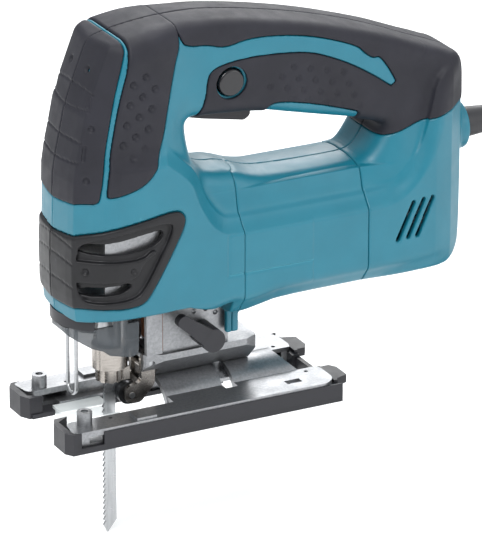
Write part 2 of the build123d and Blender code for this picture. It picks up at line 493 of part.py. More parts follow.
tie_loop = box(COIL_MEAN_R - 9.8, COIL_MEAN_R + 9.6, -5, 5, FLOOR_Z, COIL_TOP + 13.4)
tie_loop = tie_loop - box(COIL_MEAN_R - 8.8, COIL_MEAN_R + 8.5, -6, 6, COIL_BASE - 0.1, COIL_TOP + 12.4)
cord_tie = Pos(COIL_X, COIL_Y) * Rot(0, 0, -150) * tie_loop

PLUG_Z = COIL_TOP + 8.2
plug_place = Pos(
    COIL_X + COIL_MEAN_R * math.cos(math.radians(TAIL_ANGLE)),
    COIL_Y + COIL_MEAN_R * math.sin(math.radians(TAIL_ANGLE)),
    PLUG_Z,
) * Rot(0, 0, TAIL_ANGLE - 90)
PLUG_BACK, PLUG_FACE, PIN_GAP, PIN_R, PIN_LENGTH = 22, 50, 9.5, 2.4, 19
plug_side = outline([(PLUG_BACK, -8), (PLUG_FACE, -8), (PLUG_FACE, 8), (PLUG_BACK, 8)], [4, 1.5, 1.5, 4])
plug_top = outline([(PLUG_BACK, -9), (PLUG_FACE, -18), (PLUG_FACE, 18), (PLUG_BACK, 9)], [5, 3, 3, 5])
relief = outline([(0, 0), (0, 4), (PLUG_BACK + 4, 6.4), (PLUG_BACK + 4, 0)])
plug_form = (side(plug_side, -20, 20) & plan(plug_top, -10, 10)) + revolve(relief, Axis.X)
pins = Part()
for pin_y in (-PIN_GAP, PIN_GAP):
    pins += bar_x(PLUG_FACE, PLUG_FACE + PIN_LENGTH, pin_y, 0, PIN_R)
plug_body = plug_place * plug_form
plug_pins = plug_place * pins

NODES = {
    "housing_left": housing_left, "housing_right": housing_right, "motor_housing": motor_housing,
    "nose_grip_left": nose_grip_left, "nose_grip_right": nose_grip_right,
    "handle_grip_left": handle_grip_left, "handle_grip_right": handle_grip_right,
    "vent_guard_left": vent_guard_left, "vent_guard_right": vent_guard_right,
    "housing_screws": housing_screws, "gear_housing": gear_housing, "plunger_bushings": plunger_bushings,
    "gear_shaft": gear_shaft, "base_bracket": base_bracket, "bracket_gasket": bracket_gasket,
    "fork_pivot": fork_pivot, "base_bolt": base_bolt, "front_bearing": front_bearing,
    "rear_bearing": rear_bearing, "armature_shaft": armature_shaft, "armature_core": armature_core,
    "armature_windings": armature_windings, "commutator": commutator, "cooling_fan": cooling_fan,
    "field_core": field_core, "field_coils": field_coils, "brush_holders": brush_holders,
    "carbon_brushes": carbon_brushes, "drive_gear": drive_gear, "crank_roller": crank_roller,
    "plunger_rod": plunger_rod, "blade_clamp": blade_clamp, "clamp_sleeve": clamp_sleeve,
    "saw_blade": saw_blade, "clamp_opener": clamp_opener, "opener_pin": opener_pin,
    "dust_cover": dust_cover, "wire_guard": wire_guard, "roller_arm": roller_arm,
    "roller_pin": roller_pin, "roller": roller, "orbit_lever": orbit_lever, "trigger": trigger,
    "trigger_pin": trigger_pin, "trigger_switch": trigger_switch, "lock_button": lock_button,
    "noise_capacitor": noise_capacitor, "base_plate": base_plate, "base_cover": base_cover,
    "splinter_guard": splinter_guard, "fence_screws": fence_screws, "cord_guard": cord_guard,
    "cord_clamp": cord_clamp, "power_cord": power_cord, "cord_coil": cord_coil, "cord_tie": cord_tie,
    "plug_body": plug_body, "plug_pins": plug_pins,
}
for name, shape in NODES.items():
    print(name, len(shape.solids()), round(sum(s.volume for s in shape.solids())))
    export_step(shape, f"parts/{name}.step")
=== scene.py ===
"""Looks of the D-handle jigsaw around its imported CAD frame.

The frame is in metres. The casing, its rubber pads and the vent guard are distance fields in millimetres,
on one grid over the half with Y >= 0, and each is meshed once and mirrored.
"""

import json
import math

import bpy
import numpy as np
import openvdb
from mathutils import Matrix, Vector


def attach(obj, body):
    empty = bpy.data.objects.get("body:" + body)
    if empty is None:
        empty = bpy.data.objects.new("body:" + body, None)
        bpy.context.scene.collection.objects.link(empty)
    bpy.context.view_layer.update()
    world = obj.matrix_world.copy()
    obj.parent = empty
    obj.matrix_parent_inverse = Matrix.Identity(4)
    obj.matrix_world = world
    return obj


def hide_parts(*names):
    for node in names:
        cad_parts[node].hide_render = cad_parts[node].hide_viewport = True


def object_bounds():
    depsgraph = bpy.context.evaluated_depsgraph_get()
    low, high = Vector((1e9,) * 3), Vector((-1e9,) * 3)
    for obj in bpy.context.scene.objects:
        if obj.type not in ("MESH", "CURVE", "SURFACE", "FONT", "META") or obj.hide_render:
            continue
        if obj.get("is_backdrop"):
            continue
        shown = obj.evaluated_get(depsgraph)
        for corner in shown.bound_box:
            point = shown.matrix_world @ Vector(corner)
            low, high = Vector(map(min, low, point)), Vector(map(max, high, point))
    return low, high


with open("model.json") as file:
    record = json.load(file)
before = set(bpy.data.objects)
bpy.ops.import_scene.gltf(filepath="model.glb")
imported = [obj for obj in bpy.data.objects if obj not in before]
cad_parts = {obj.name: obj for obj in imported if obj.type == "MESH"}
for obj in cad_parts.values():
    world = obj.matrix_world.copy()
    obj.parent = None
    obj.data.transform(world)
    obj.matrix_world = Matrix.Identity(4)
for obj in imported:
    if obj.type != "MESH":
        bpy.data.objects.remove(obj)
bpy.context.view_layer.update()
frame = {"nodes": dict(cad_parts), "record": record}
NODES = frame["nodes"]
MM = 0.001

# ---------------------------------------------------------------- camera
TURN, LIFT, DISTANCE = math.radians(27.2), math.radians(21.9), 2.55
AIM = Vector((0.0741, 0.0, 0.0731))
back = Vector((-math.sin(TURN) * math.cos(LIFT), -math.cos(TURN) * math.cos(LIFT), math.sin(LIFT)))
camera_data = bpy.data.cameras.new("camera")
camera = bpy.data.objects.new("camera", camera_data)
bpy.context.scene.collection.objects.link(camera)
camera.location = AIM + back * DISTANCE
camera.rotation_mode = "QUATERNION"
camera.rotation_quaternion = (-back).to_track_quat("-Z", "Y")
camera_data.sensor_fit = "AUTO"
camera_data.sensor_width = 36.0
camera_data.lens = 331.5
camera_data.shift_x, camera_data.shift_y = 0.0029, -0.0252
camera_data.clip_start, camera_data.clip_end = 0.05, 50.0
bpy.context.scene.camera = camera


# ---------------------------------------------------------------- materials
def shader(name):
    mat = bpy.data.materials.new(name)
    mat.use_nodes = True
    tree = mat.node_tree
    return mat, tree, tree.nodes["Principled BSDF"]


def noise(tree, scale, detail=4.0, rough=0.55, stretch=(1, 1, 1)):
    coords = tree.nodes.new("ShaderNodeTexCoord")
    place = tree.nodes.new("ShaderNodeMapping")
    place.inputs["Scale"].default_value = stretch
    tree.links.new(coords.outputs["Object"], place.inputs["Vector"])
    tex = tree.nodes.new("ShaderNodeTexNoise")
    tex.inputs["Scale"].default_value = scale
    tex.inputs["Detail"].default_value = detail
    tex.inputs["Roughness"].default_value = rough
    tree.links.new(place.outputs["Vector"], tex.inputs["Vector"])
    return tex.outputs["Fac"]


def ranged(tree, source, low, high, start=0.3, end=0.7):
    node = tree.nodes.new("ShaderNodeMapRange")
    node.inputs["From Min"].default_value = start
    node.inputs["From Max"].default_value = end
    node.inputs["To Min"].default_value = low
    node.inputs["To Max"].default_value = high
    tree.links.new(source, node.inputs["Value"])
    return node.outputs["Result"]


def mixed(tree, factor, first, second):
    node = tree.nodes.new("ShaderNodeMix")
    node.data_type = "RGBA"
    tree.links.new(factor, node.inputs["Factor"])
    for value, socket in ((first, node.inputs[6]), (second, node.inputs[7])):
        if isinstance(value, tuple):
            socket.default_value = (*value, 1.0)
        else:
            tree.links.new(value, socket)
    return node.outputs[2]


def bumped(tree, bsdf, height, strength, distance):
    bump = tree.nodes.new("ShaderNodeBump")
    bump.inputs["Strength"].default_value = strength
    bump.inputs["Distance"].default_value = distance
    tree.links.new(height, bump.inputs["Height"])
    tree.links.new(bump.outputs["Normal"], bsdf.inputs["Normal"])


def edge_factor(tree, start=0.52, end=0.6):
    geometry = tree.nodes.new("ShaderNodeNewGeometry")
    return ranged(tree, geometry.outputs["Pointiness"], 0.0, 1.0, start, end)


def plastic(name, dark, light, rough=(0.42, 0.5), grain=2600.0, bump=0.08, specular=0.5, worn=None):
    """A moulded plastic: fine spark-eroded grain, faint mottling and lighter rubbed edges."""
    mat, tree, bsdf = shader(name)
    cloud = ranged(tree, noise(tree, 55.0), 0.0, 1.0)
    colour = mixed(tree, cloud, dark, light)
    if worn:
        colour = mixed(tree, edge_factor(tree), colour, worn)
    tree.links.new(colour, bsdf.inputs["Base Color"])
    tree.links.new(ranged(tree, noise(tree, 130.0), rough[0], rough[1]), bsdf.inputs["Roughness"])
    bsdf.inputs["Specular IOR Level"].default_value = specular
    bumped(tree, bsdf, noise(tree, grain, 2.0), bump, 0.0002)
    return mat


def metal(name, dark, light, rough=(0.25, 0.4), stretch=(1, 1, 1), scale=300.0, bump=0.1, metallic=1.0):
    """A metal with grinding lines or casting grain, by how its noise is stretched."""
    mat, tree, bsdf = shader(name)
    lines = noise(tree, scale, 5.0, 0.65, stretch)
    tree.links.new(mixed(tree, ranged(tree, lines, 0.0, 1.0), dark, light), bsdf.inputs["Base Color"])
    tree.links.new(ranged(tree, noise(tree, 90.0), rough[0], rough[1]), bsdf.inputs["Roughness"])
    bsdf.inputs["Metallic"].default_value = metallic
    bumped(tree, bsdf, lines, bump, 0.0002)
    return mat


def clear(name, tint, rough=0.06, alpha=0.45):
    """A tinted clear moulding, thin enough to need no bending of light."""
    mat, tree, bsdf = shader(name)
    cloud = ranged(tree, noise(tree, 120.0), 0.85, 1.0)
    tree.links.new(mixed(tree, cloud, tuple(c * 0.8 for c in tint), tint), bsdf.inputs["Base Color"])
    layer = tree.nodes.new("ShaderNodeLayerWeight")
    layer.inputs["Blend"].default_value = 0.35
    tree.links.new(ranged(tree, layer.outputs["Facing"], alpha, 0.92, 0.0, 1.0), bsdf.inputs["Alpha"])
    bsdf.inputs["Roughness"].default_value = rough
    bsdf.inputs["IOR"].default_value = 1.5
    bumped(tree, bsdf, noise(tree, 90.0, 2.0), 0.1, 0.0003)
    return mat


TEAL = plastic("teal_plastic", (0.004, 0.132, 0.19), (0.006, 0.148, 0.21), (0.36, 0.44), 2400.0, 0.06, 0.5,
               (0.018, 0.185, 0.25))
RUBBER = plastic(
    "grip_rubber", (0.011, 0.011, 0.016), (0.016, 0.016, 0.023), (0.52, 0.62), 3200.0, 0.16, 0.3,
    (0.024, 0.024, 0.032))
BLACK = plastic(
    "black_plastic", (0.007, 0.007, 0.008), (0.012, 0.012, 0.014), (0.38, 0.48), 2600.0, 0.07, 0.3,
    (0.022, 0.022, 0.026))
GLOSS_BLACK = plastic("gloss_black", (0.010, 0.010, 0.012), (0.014, 0.014, 0.016), (0.14, 0.2), 900.0, 0.02)
CORD_RUBBER = plastic(
    "cord_rubber", (0.014, 0.014, 0.016), (0.022, 0.022, 0.025), (0.42, 0.52), 3000.0, 0.1, 0.45)
ALUMINIUM = metal(
    "cast_aluminium", (0.22, 0.225, 0.235), (0.32, 0.325, 0.335), (0.32, 0.44), (1, 1, 1), 700.0, 0.25,
    0.9)
STEEL = metal("steel", (0.32, 0.33, 0.34), (0.46, 0.47, 0.48), (0.26, 0.38), (1, 1, 14), 260.0, 0.12)
DARK_STEEL = metal(
    "dark_steel", (0.045, 0.047, 0.052), (0.09, 0.093, 0.10), (0.3, 0.42), (1, 9, 1), 260.0, 0.12)
LAMINATED = metal(
    "laminated_steel", (0.16, 0.165, 0.17), (0.34, 0.345, 0.35), (0.4, 0.5), (40, 1, 1), 120.0, 0.3)
NICKEL = metal("nickel", (0.31, 0.285, 0.26), (0.42, 0.39, 0.36), (0.2, 0.3), (1, 1, 5), 240.0, 0.08)
BLADE = metal("blade_steel", (0.38, 0.39, 0.40), (0.50, 0.51, 0.52), (0.24, 0.34), (1, 1, 0.06), 900.0, 0.1)
BRONZE = metal("bronze", (0.36, 0.22, 0.09), (0.52, 0.34, 0.15), (0.3, 0.42), (1, 1, 6), 250.0, 0.1)
COPPER = metal("copper", (0.48, 0.2, 0.09), (0.72, 0.33, 0.16), (0.28, 0.4), (1, 26, 26), 90.0, 0.35)
CARBON = plastic("carbon", (0.02, 0.02, 0.021), (0.045, 0.045, 0.047), (0.45, 0.6), 1600.0, 0.3)
GASKET = plastic("gasket_fibre", (0.17, 0.06, 0.022), (0.25, 0.1, 0.04), (0.6, 0.75), 1800.0, 0.4)
AMBER = plastic("amber_plastic", (0.42, 0.27, 0.05), (0.55, 0.38, 0.08), (0.2, 0.3), 800.0, 0.05)
SMOKY = clear("smoky_clear", (0.045, 0.055, 0.065), 0.12, 0.7)
CLEAR = clear("clear_plastic", (0.80, 0.84, 0.84), 0.05, 0.35)
SLOT_MATERIALS = {
    "teal_plastic": TEAL, "grip_rubber": RUBBER, "black_plastic": BLACK, "cast_aluminium": ALUMINIUM,
    "steel": STEEL, "dark_steel": DARK_STEEL, "laminated_steel": LAMINATED, "nickel": NICKEL,
    "blade_steel": BLADE, "bronze": BRONZE, "copper": COPPER, "carbon": CARBON, "gasket_fibre": GASKET,
    "amber_plastic": AMBER, "cord_rubber": CORD_RUBBER, "smoky_clear": SMOKY, "clear_plastic": CLEAR,
}
for part in frame["record"]["subparts"]:
    look = GLOSS_BLACK if part["node"] == "lock_button" else SLOT_MATERIALS[part["material_slot"]]
    for place in NODES[part["node"]].material_slots:
        place.material = look

# ---------------------------------------------------------------- cord
CORD_R = 3.9
COIL_X, COIL_Y, COIL_BASE, PITCH = 272.0, -10.0, -63.3, 7.9
OUTER_R, INNER_R, TAIL_R, TAIL_Z = 46.95, 39.05, 43.0, -23.5
ROUTE = [
    (250, 0, 125), (282, 0, 125), (310, 8, 114), (326, 24, 90), (331, 42, 56), (331, 60, 22),
    (327, 68, -14), (318.95, 48, -59.3), (318.95, 1, -59.3)]
TURN_POINTS, TAIL_POINTS, TAIL_TURN = 14, 11, 270
STEP_FROM = 0.72  # the share of a turn after which the cord moves on to the next radius and layer
BOWED = 1.012  # the control points stand a little outside the turn, because the curve runs inside them


def coil_point(degrees, radius, height):
    """A point on the coil, with the angle counted clockwise seen from above from where the cord comes in."""
    angle = -math.radians(degrees)
    return COIL_X + radius * math.cos(angle), COIL_Y + radius * math.sin(angle), height


def coil_points():
    """The turns of the coil, two side by side in each layer, and the tail that lies on top of them."""
    floor_z = COIL_BASE + CORD_R + 0.1
    radii = [OUTER_R, INNER_R, INNER_R, OUTER_R, OUTER_R, INNER_R, INNER_R, OUTER_R, TAIL_R]
    layers = [0, 0, 1, 1, 2, 2, 3, 3]
    heights = [floor_z + PITCH * layer for layer in layers] + [TAIL_Z]
    found = []
    for turn in range(8):
        for step in range(TURN_POINTS):
            share = step / TURN_POINTS
            ease = max(0.0, (share - STEP_FROM) / (1 - STEP_FROM))
            radius = radii[turn] + (radii[turn + 1] - radii[turn]) * ease
            height = heights[turn] + (heights[turn + 1] - heights[turn]) * ease
            found.append(coil_point(360 * share, radius * BOWED, height))
    for step in range(TAIL_POINTS):
        found.append(coil_point(TAIL_TURN * step / TAIL_POINTS, TAIL_R * BOWED, TAIL_Z))
    return found


tail_end = [(COIL_X + d, COIL_Y + TAIL_R, TAIL_Z) for d in (-8.0, 0.0, 6.0)]
cord_points = ROUTE + coil_points() + tail_end
cord_curve = bpy.data.curves.new("mains_cord", "CURVE")
cord_curve.dimensions = "3D"
spline = cord_curve.splines.new("NURBS")
spline.points.add(len(cord_points) - 1)
for point, place in zip(spline.points, cord_points):
    point.co = (place[0] * MM, place[1] * MM, place[2] * MM, 1.0)
spline.order_u = 3
spline.use_endpoint_u = True
spline.resolution_u = 6
cord_curve.bevel_depth = CORD_R * MM
cord_curve.bevel_resolution = 5
cord_curve.materials.append(CORD_RUBBER)
mains_cord = bpy.data.objects.new("mains_cord", cord_curve)
bpy.context.scene.collection.objects.link(mains_cord)
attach(mains_cord, "housing")
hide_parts("power_cord", "cord_coil")

# ---------------------------------------------------------------- fields in millimetres
H = 0.6  # the grid's spacing
X0, Y0, Z0 = -36.0, -1.8, 38.0
NX, NY, NZ = 405, 62, 297
MOTOR_Z, CORD_Z = 90.0, 125.0  # heights of the motor's shaft and of the cord's exit
X = (X0 + H * np.arange(NX)).astype(np.float32)
Y = (Y0 + H * np.arange(NY)).astype(np.float32)
Z = (Z0 + H * np.arange(NZ)).astype(np.float32)
XX, ZZ = np.meshgrid(X, Z, indexing="ij")


def polygon(points, px, pz):
    """Signed distance to a closed outline, negative inside."""
    best = np.full(px.shape, 1e9, np.float32)
    inside = np.zeros(px.shape, bool)
    for (ax, az), (bx, bz) in zip(points, points[1:] + points[:1]):
        ex, ez = bx - ax, bz - az
        t = np.clip(((px - ax) * ex + (pz - az) * ez) / (ex * ex + ez * ez), 0, 1)
        best = np.minimum(best, np.hypot(px - ax - t * ex, pz - az - t * ez))
        if az != bz:
            crossing = (az > pz) != (bz > pz)
            inside ^= crossing & (px < ax + (pz - az) * ex / ez)
    return np.where(inside, -best, best).astype(np.float32)


def softened(points, passes=2):
    """The outline with its corners cut by Chaikin's rule; a point given as (x, z, 0) stays sharp."""
    for _ in range(passes):
        new = []
        count = len(points)
        for i, a in enumerate(points):
            b = points[(i + 1) % count]
            if len(a) == 3:
                new.append(a)
            else:
                new.append((0.75 * a[0] + 0.25 * b[0], 0.75 * a[1] + 0.25 * b[1]))
            if len(b) == 2:
                new.append((0.25 * a[0] + 0.75 * b[0], 0.25 * a[1] + 0.75 * b[1]))
        points = new
    return [(p[0], p[1]) for p in points]


def shape(points, passes=2):
    """The distance to a rounded outline in the side view."""
    return polygon(softened(points, passes), XX, ZZ)


def wide(field):
    """A side view's field, the same at every Y."""
    return field[:, None, :]


def smax(a, b, r):
    """The larger of two fields, with the crease between them rounded."""
    h = np.maximum(r - np.abs(a - b), 0) / r
    return np.maximum(a, b) + h * h * r * 0.25


def smin(a, b, r):
    return -smax(-a, -b, r)


def step(value, low, high):
    """Goes smoothly from 0 at low to 1 at high."""
    t = np.clip((value - low) / (high - low), 0, 1)
    return t * t * (3 - 2 * t)


AY = np.abs(Y)[None, :, None]
SILHOUETTE = shape([
    (-30.2, 65.2, 0), (-31.3, 80), (-31.4, 104), (-30.4, 126), (-28.5, 147.5), (-23.4, 171.3),
    (-17, 190), (-12, 203), (-3, 206.2), (18, 209.4), (42, 210.3), (62, 208.2), (96, 201.6),
    (124, 194.2), (146, 186.6), (168, 177.4), (184, 171.4), (194.5, 165.8), (197.6, 152), (197.4, 134),
    (196.5, 108), (193.5, 78), (191.5, 66), (184, 60.2), (166, 59.4), (136.8, 59.1), (84.7, 58.9),
    (75.6, 57.1), (65.2, 55.2), (61.5, 55.1, 0), (57.2, 55.4), (55, 58), (46.8, 59), (30, 65.2, 0)])
WINDOW = shape([
    (34, 161.5), (34.4, 152), (38.2, 137), (43, 131.5), (52, 128.8), (61, 128.2), (75, 122.6),
    (90, 121), (126, 120.4), (137, 121.5), (143, 128), (150, 139.5), (142, 143), (113, 149.8),
    (88, 156), (78, 158.6), (60, 160.5), (44, 161.5)])
RING = np.maximum(SILHOUETTE, -WINDOW)

# half width of the narrow upper form: nose, handle and rear column
nose_half = 27.0 + 5.5 * step(146.0 - ZZ, 0.0, 40.0) - 1.5 * step(74.0 - ZZ, 0.0, 9.0)
HANDLE_HALF = 19.3
rear_half = HANDLE_HALF + 7.5 * step(150.0 - ZZ, 0.0, 40.0)
blend_nose = step(XX, 14.0, 46.0)
blend_rear = step(XX, 128.0, 160.0)
HALF = (nose_half * (1 - blend_nose) + HANDLE_HALF * blend_nose) * (1 - blend_rear) + rear_half * blend_rear
ROUND = 11.0 + 8.0 * blend_nose * (1 - blend_rear)
UPPER = smax(wide(RING), AY - wide(HALF), wide(np.where(ZZ < 120, 4.0, ROUND).astype(np.float32)))

# the broad lower slab, bounded above by the chamfer line
SLAB_LINE = shape([
    (-60, 20, 0), (-60, 150, 0), (20, 150, 0), (37, 136.5), (41, 122), (50, 107.4), (60, 106.3),
    (100, 106.3), (140, 106.3), (152, 110), (163, 122), (170, 140), (176, 166), (196, 170),
    (230, 160, 0), (230, 20, 0)])
SLAB_HALF, TOP_CHAMFER, UNDER_CHAMFER = 32.4, 6.6, 9.5
slab = np.maximum(wide(np.maximum(SLAB_LINE, SILHOUETTE)), AY - SLAB_HALF)
slab = np.maximum(slab, (wide(SLAB_LINE) + AY - SLAB_HALF + TOP_CHAMFER) / math.sqrt(2))
under = UNDER_CHAMFER * wide(step(XX, 30, 62))
slab = smax(slab, (wide(SILHOUETTE) + AY - SLAB_HALF + under) / math.sqrt(2), 2.0)
# the barrel's crown between the slab and the window
crown = smax(wide(RING), AY - wide(24.0 - 3.0 * step(ZZ, 106, 122)), 9.0)
BODY = smin(UPPER, slab, 3.0)
BODY = smin(BODY, crown, 6.0)

# plan outline, leaning with the nose's front line
seam_z = np.array([60, 66, 77, 92.7, 107.4, 125.8, 137.8, 147.5, 159, 171.3, 183.7, 199, 216])
seam_x = np.array([-30.0, -30.2, -31.2, -31.4, -31, -30.4, -30, -28.5, -25.9, -23.4, -19, -13, -6])
lean = np.interp(Z, seam_z, seam_x)
PLAN_START = 12.0  # how far before the front line the plan's own grid begins
PLAN_U = (np.arange(0, 420) * H - PLAN_START).astype(np.float32)
UU, VV = np.meshgrid(PLAN_U, Y, indexing="ij")
plan_half = [
    (0, 0), (0.8, 7), (1.8, 14), (2.8, 18.8), (6.4, 22.0), (10.6, 25.6), (15, 28.4), (22, 30.6),
    (36, 32.4), (60, 33.5), (260, 33.5)]
plan_outline = plan_half + [(x, -y) for x, y in reversed(plan_half) if y > 0]
PLAN = polygon(plan_outline, UU, VV)
leaning = np.empty((NX, NY, NZ), np.float32)
for k in range(NZ):
    where = (X - lean[k] + PLAN_START) / H
    low = np.clip(np.floor(where).astype(int), 0, len(PLAN_U) - 2)
    part = np.clip(where - low, 0, 1)[:, None]
    leaning[:, :, k] = PLAN[low] * (1 - part) + PLAN[low + 1] * part
BODY = smax(BODY, leaning, 2.0)
XP, YP = np.meshgrid(X, Y, indexing="ij")
rear_plan = [(60, 34), (150, 34), (172, 30), (183, 25.5), (192, 18), (197.5, 9), (198.2, 0)]
REAR_PLAN = polygon(rear_plan + [(x, -y) for x, y in reversed(rear_plan) if y > 0], XP, YP)
REAR_PLAN = np.where(XP < 100, -20, REAR_PLAN)
BODY = smax(BODY, REAR_PLAN[:, :, None], 5.0)
ax_y, ax_z = Y[None, :, None], Z[None, None, :] - CORD_Z
radial = np.sqrt(ax_y**2 + ax_z**2)
x_line = X[:, None, None]
collar = smax(radial - 13.0, np.maximum(x_line - 201.6, 186.0 - x_line), 1.6)
BODY = smin(BODY, collar, 2.0)
BODY = BODY.astype(np.float32)


def cuboid(x0, x1, y0, y1, z0, z1, r=0.0):
    """A box's distance field on the grid, with rounded edges."""
    dx = np.maximum(x0 - X, X - x1)[:, None, None] + r
    dy = np.maximum(y0 - np.abs(Y), np.abs(Y) - y1)[None, :, None] + r
    dz = np.maximum(z0 - Z, Z - z1)[None, None, :] + r
    outside = np.sqrt(np.maximum(dx, 0) ** 2 + np.maximum(dy, 0) ** 2 + np.maximum(dz, 0) ** 2)
    return outside + np.minimum(np.maximum(np.maximum(dx, dy), dz), 0) - r


def dimple(field, x, z, r=2.3, depth=0.8):
    """Presses one round dimple into the side surface of a field, which is found at that place."""
    i, k = int(round((x - X0) / H)), int(round((z - Z0) / H))
    column = field[i, :, k]
    inside = np.nonzero(column < 0)[0]
    if len(inside) == 0:
        return
    y = Y[inside[-1]]
    reach = int(r * 2 / H) + 2
    cut = (slice(max(i - reach, 0), i + reach), slice(None), slice(max(k - reach, 0), k + reach))
    big = (r * r + depth * depth) / (2 * depth)
    hole = np.sqrt((X[cut[0], None, None] - x) ** 2 + (Y[None, :, None] - (y + big - depth)) ** 2
                   + (Z[None, None, cut[2]] - z) ** 2) - big
    field[cut] = smax(field[cut], -hole, 0.5)


# ---------------------------------------------------------------- pad regions, in the side view
NOSE_PAD = shape([
    (-60, 124.8, 0), (-30.5, 125.0), (-27.7, 126.9), (-23.3, 127.5), (-18.3, 127.9), (-17.0, 131),
    (-14.2, 153), (-9.3, 178.6), (-3.5, 198), (-0.9, 206), (-1.2, 230, 0), (-60, 230, 0)], 1)
SIDE_PAD = shape([
    (-14.2, 131.6), (-12.2, 130.5), (3.2, 134.0), (10.8, 140.4), (17.2, 152.8), (21.7, 176.3),
    (26.2, 196.5), (29, 202.3), (30, 230, 0), (2.0, 230, 0), (0.8, 200), (-6, 178.6), (-11, 153)], 2)
HANDLE_PAD = shape([
    (26, 230, 0), (29.4, 203.5), (36, 200.2), (45.4, 199.6), (54.9, 196.4), (67.8, 199.4), (87.4, 198.0),
    (107.2, 194.0), (130.1, 185.6), (134.2, 181), (139, 177.4), (142.5, 178.4), (149, 169.4), (153.6, 160),
    (167.9, 174.8), (190, 190), (230, 190, 0), (230, 230, 0)], 2)
PALM_PAD = shape([
    (45.2, 179), (44.5, 171), (41.5, 163), (38.6, 156), (40, 150, 0), (79, 150, 0), (79.5, 160),
    (84, 163.4), (106, 158.6), (127, 151.6), (132.4, 149.5), (130.1, 141.8), (132.5, 134.3),
    (140.6, 131.3), (152, 143), (167.9, 171), (186, 185), (230, 185, 0), (230, 160, 0), (151.2, 160.1),
    (149.4, 160.7), (141, 167), (126.3, 176.3), (112, 183), (100.5, 186.9), (80, 188.9), (64.5, 188.9),
    (52, 187.2), (46.6, 184.4)], 2)
GUARD = shape([
    (-60, 70.8, 0), (-30.5, 70.8), (-27.6, 71.8), (-15, 71.6), (-3, 71.2), (4, 72.6), (8.5, 77.6),
    (19.3, 96.1), (27.8, 112), (26.3, 117.6), (21, 119.3), (2.4, 116.1), (-14.6, 113.4), (-27.9, 110.2),
    (-30.9, 107.6), (-60, 107.6, 0)], 2)
GUARD_RECESS = shape([
    (-27.6, 104), (-22, 107.8), (-10, 110.9), (15.9, 113.9), (22.0, 111.6), (10.7, 91.0), (4.6, 80.6),
    (-0.5, 75.8), (-15, 74.8), (-27.6, 75.6)], 2)
GUARD_BAR = shape([
    (-60, 98, 0), (-20, 97.2), (-8, 96.4), (3.4, 96.6), (9.6, 101.0), (11.6, 99.0), (5.4, 96.0),
    (-0.2, 86.4), (-10, 85.6), (-60, 86, 0)], 1)
GUARD_SLOTS = np.minimum(shape([
    (-26.2, 101.2), (-26.2, 105.6), (-10, 106.2), (9.9, 109.6), (16, 109.4), (15, 105), (9, 101.2),
    (-8, 99.6)], 1), shape([(-25.5, 78), (-25.5, 82.6), (-12, 83), (-1, 84.2), (-3, 80.5), (-9, 78.6)],
    1))
rear_tip = shape([
    (140.6, 131.3), (132.5, 134.3), (130.1, 141.8), (132.4, 149.5), (150, 161), (168, 175), (182, 186),
    (215, 186, 0), (215, 150, 0), (199, 147), (176, 143)], 2)
UPPER_BLACK = np.minimum(np.minimum(HANDLE_PAD, PALM_PAD), rear_tip)


def recess(body, region, depth, gap=0.35):
    """Cuts a shallow bed for a pad, a little wider than the pad, so that a fine dark groove runs round it."""
    bed = np.maximum(wide(region - gap), -(body + depth))
    return np.maximum(body, -bed)


def pad(region, proud, depth):
    """The rubber that fills a bed and stands proud of the casing."""
    outer = smax(BODY - proud, wide(region), 1.0)
    return np.maximum(outer, -(BODY + depth - 0.1))


PAD_DEPTH, WALL = 1.7, 3.4
teal = BODY.copy()
for region in (NOSE_PAD, SIDE_PAD, UPPER_BLACK):
    teal = recess(teal, region, PAD_DEPTH)
teal = recess(teal, GUARD, 1.0, 0.45)
teal = np.maximum(teal, -(BODY + WALL))
# the cord guard's bore
teal = np.maximum(teal, -(radial - 8.6) - 1e3 * (x_line < 170))
# the open mouth under the nose
mouth = np.maximum(leaning + 2.6, np.maximum(wide(ZZ - 74.0), wide(XX - 56.0)))
teal = np.maximum(teal, -np.maximum(mouth, AY - 29.0))
# the vent guard's well goes through the nose wall
teal = np.maximum(teal, -np.maximum(wide(GUARD_RECESS - 2.2), 15.0 - AY))
# rear vent slots, leaning
SLOT_LEAN = math.radians(26)
for slot_x, slot_z in [(153.7, 89.7), (159.8, 90.2), (165.4, 90.1)]:
    across = (XX - slot_x) * math.cos(SLOT_LEAN) - (ZZ - slot_z) * math.sin(SLOT_LEAN)
    along = (XX - slot_x) * math.sin(SLOT_LEAN) + (ZZ - slot_z) * math.cos(SLOT_LEAN)
    slot_field = np.hypot(across, np.maximum(np.abs(along) - 10.3, 0)) - 1.35
    teal = np.maximum(teal, -np.maximum(wide(slot_field), 20 - AY))
# arch legs under the barrel
legs = cuboid(57.6, 64.8, 14.2, 17.4, 41, 62, 1.0)
legs = smin(legs, cuboid(60.2, 68, 14.2, 17.4, 52, 62, 1.0), 2.0)
teal = smin(teal, legs, 1.0)
# the blank panel on the barrel's flat: a sunk bar with a round rear end, and a fine groove round it
PANEL_X, PANEL_Z = 87.0, 89.5
panel = np.hypot(
    np.maximum(np.abs(XX - PANEL_X) - 28.0, 0), np.maximum(np.abs(ZZ - PANEL_Z) - 0.2, 0)) - 10.6
panel = np.where(XX < PANEL_X, np.abs(ZZ - PANEL_Z) - 10.8, panel)
panel = np.maximum(panel, 52.0 - XX)
panel_groove = np.maximum(wide(np.maximum(np.abs(panel) - 0.45, 0.0)), SLAB_HALF - 0.65 - AY)
panel_bed = np.maximum(wide(panel + 0.4), SLAB_HALF - 0.35 - AY)
teal = np.maximum(np.maximum(teal, -panel_groove), -panel_bed)
# trigger opening in the handle's underside
teal = np.maximum(teal, -cuboid(36, 78.6, -1, 8.4, 140, 168, 0.5))
SCREWS = [(-19, 150), (44, 196), (126, 176), (180, 152), (176, 76), (150, 128)]
BUTTON_X, BUTTON_Z = 58.7, 177.4


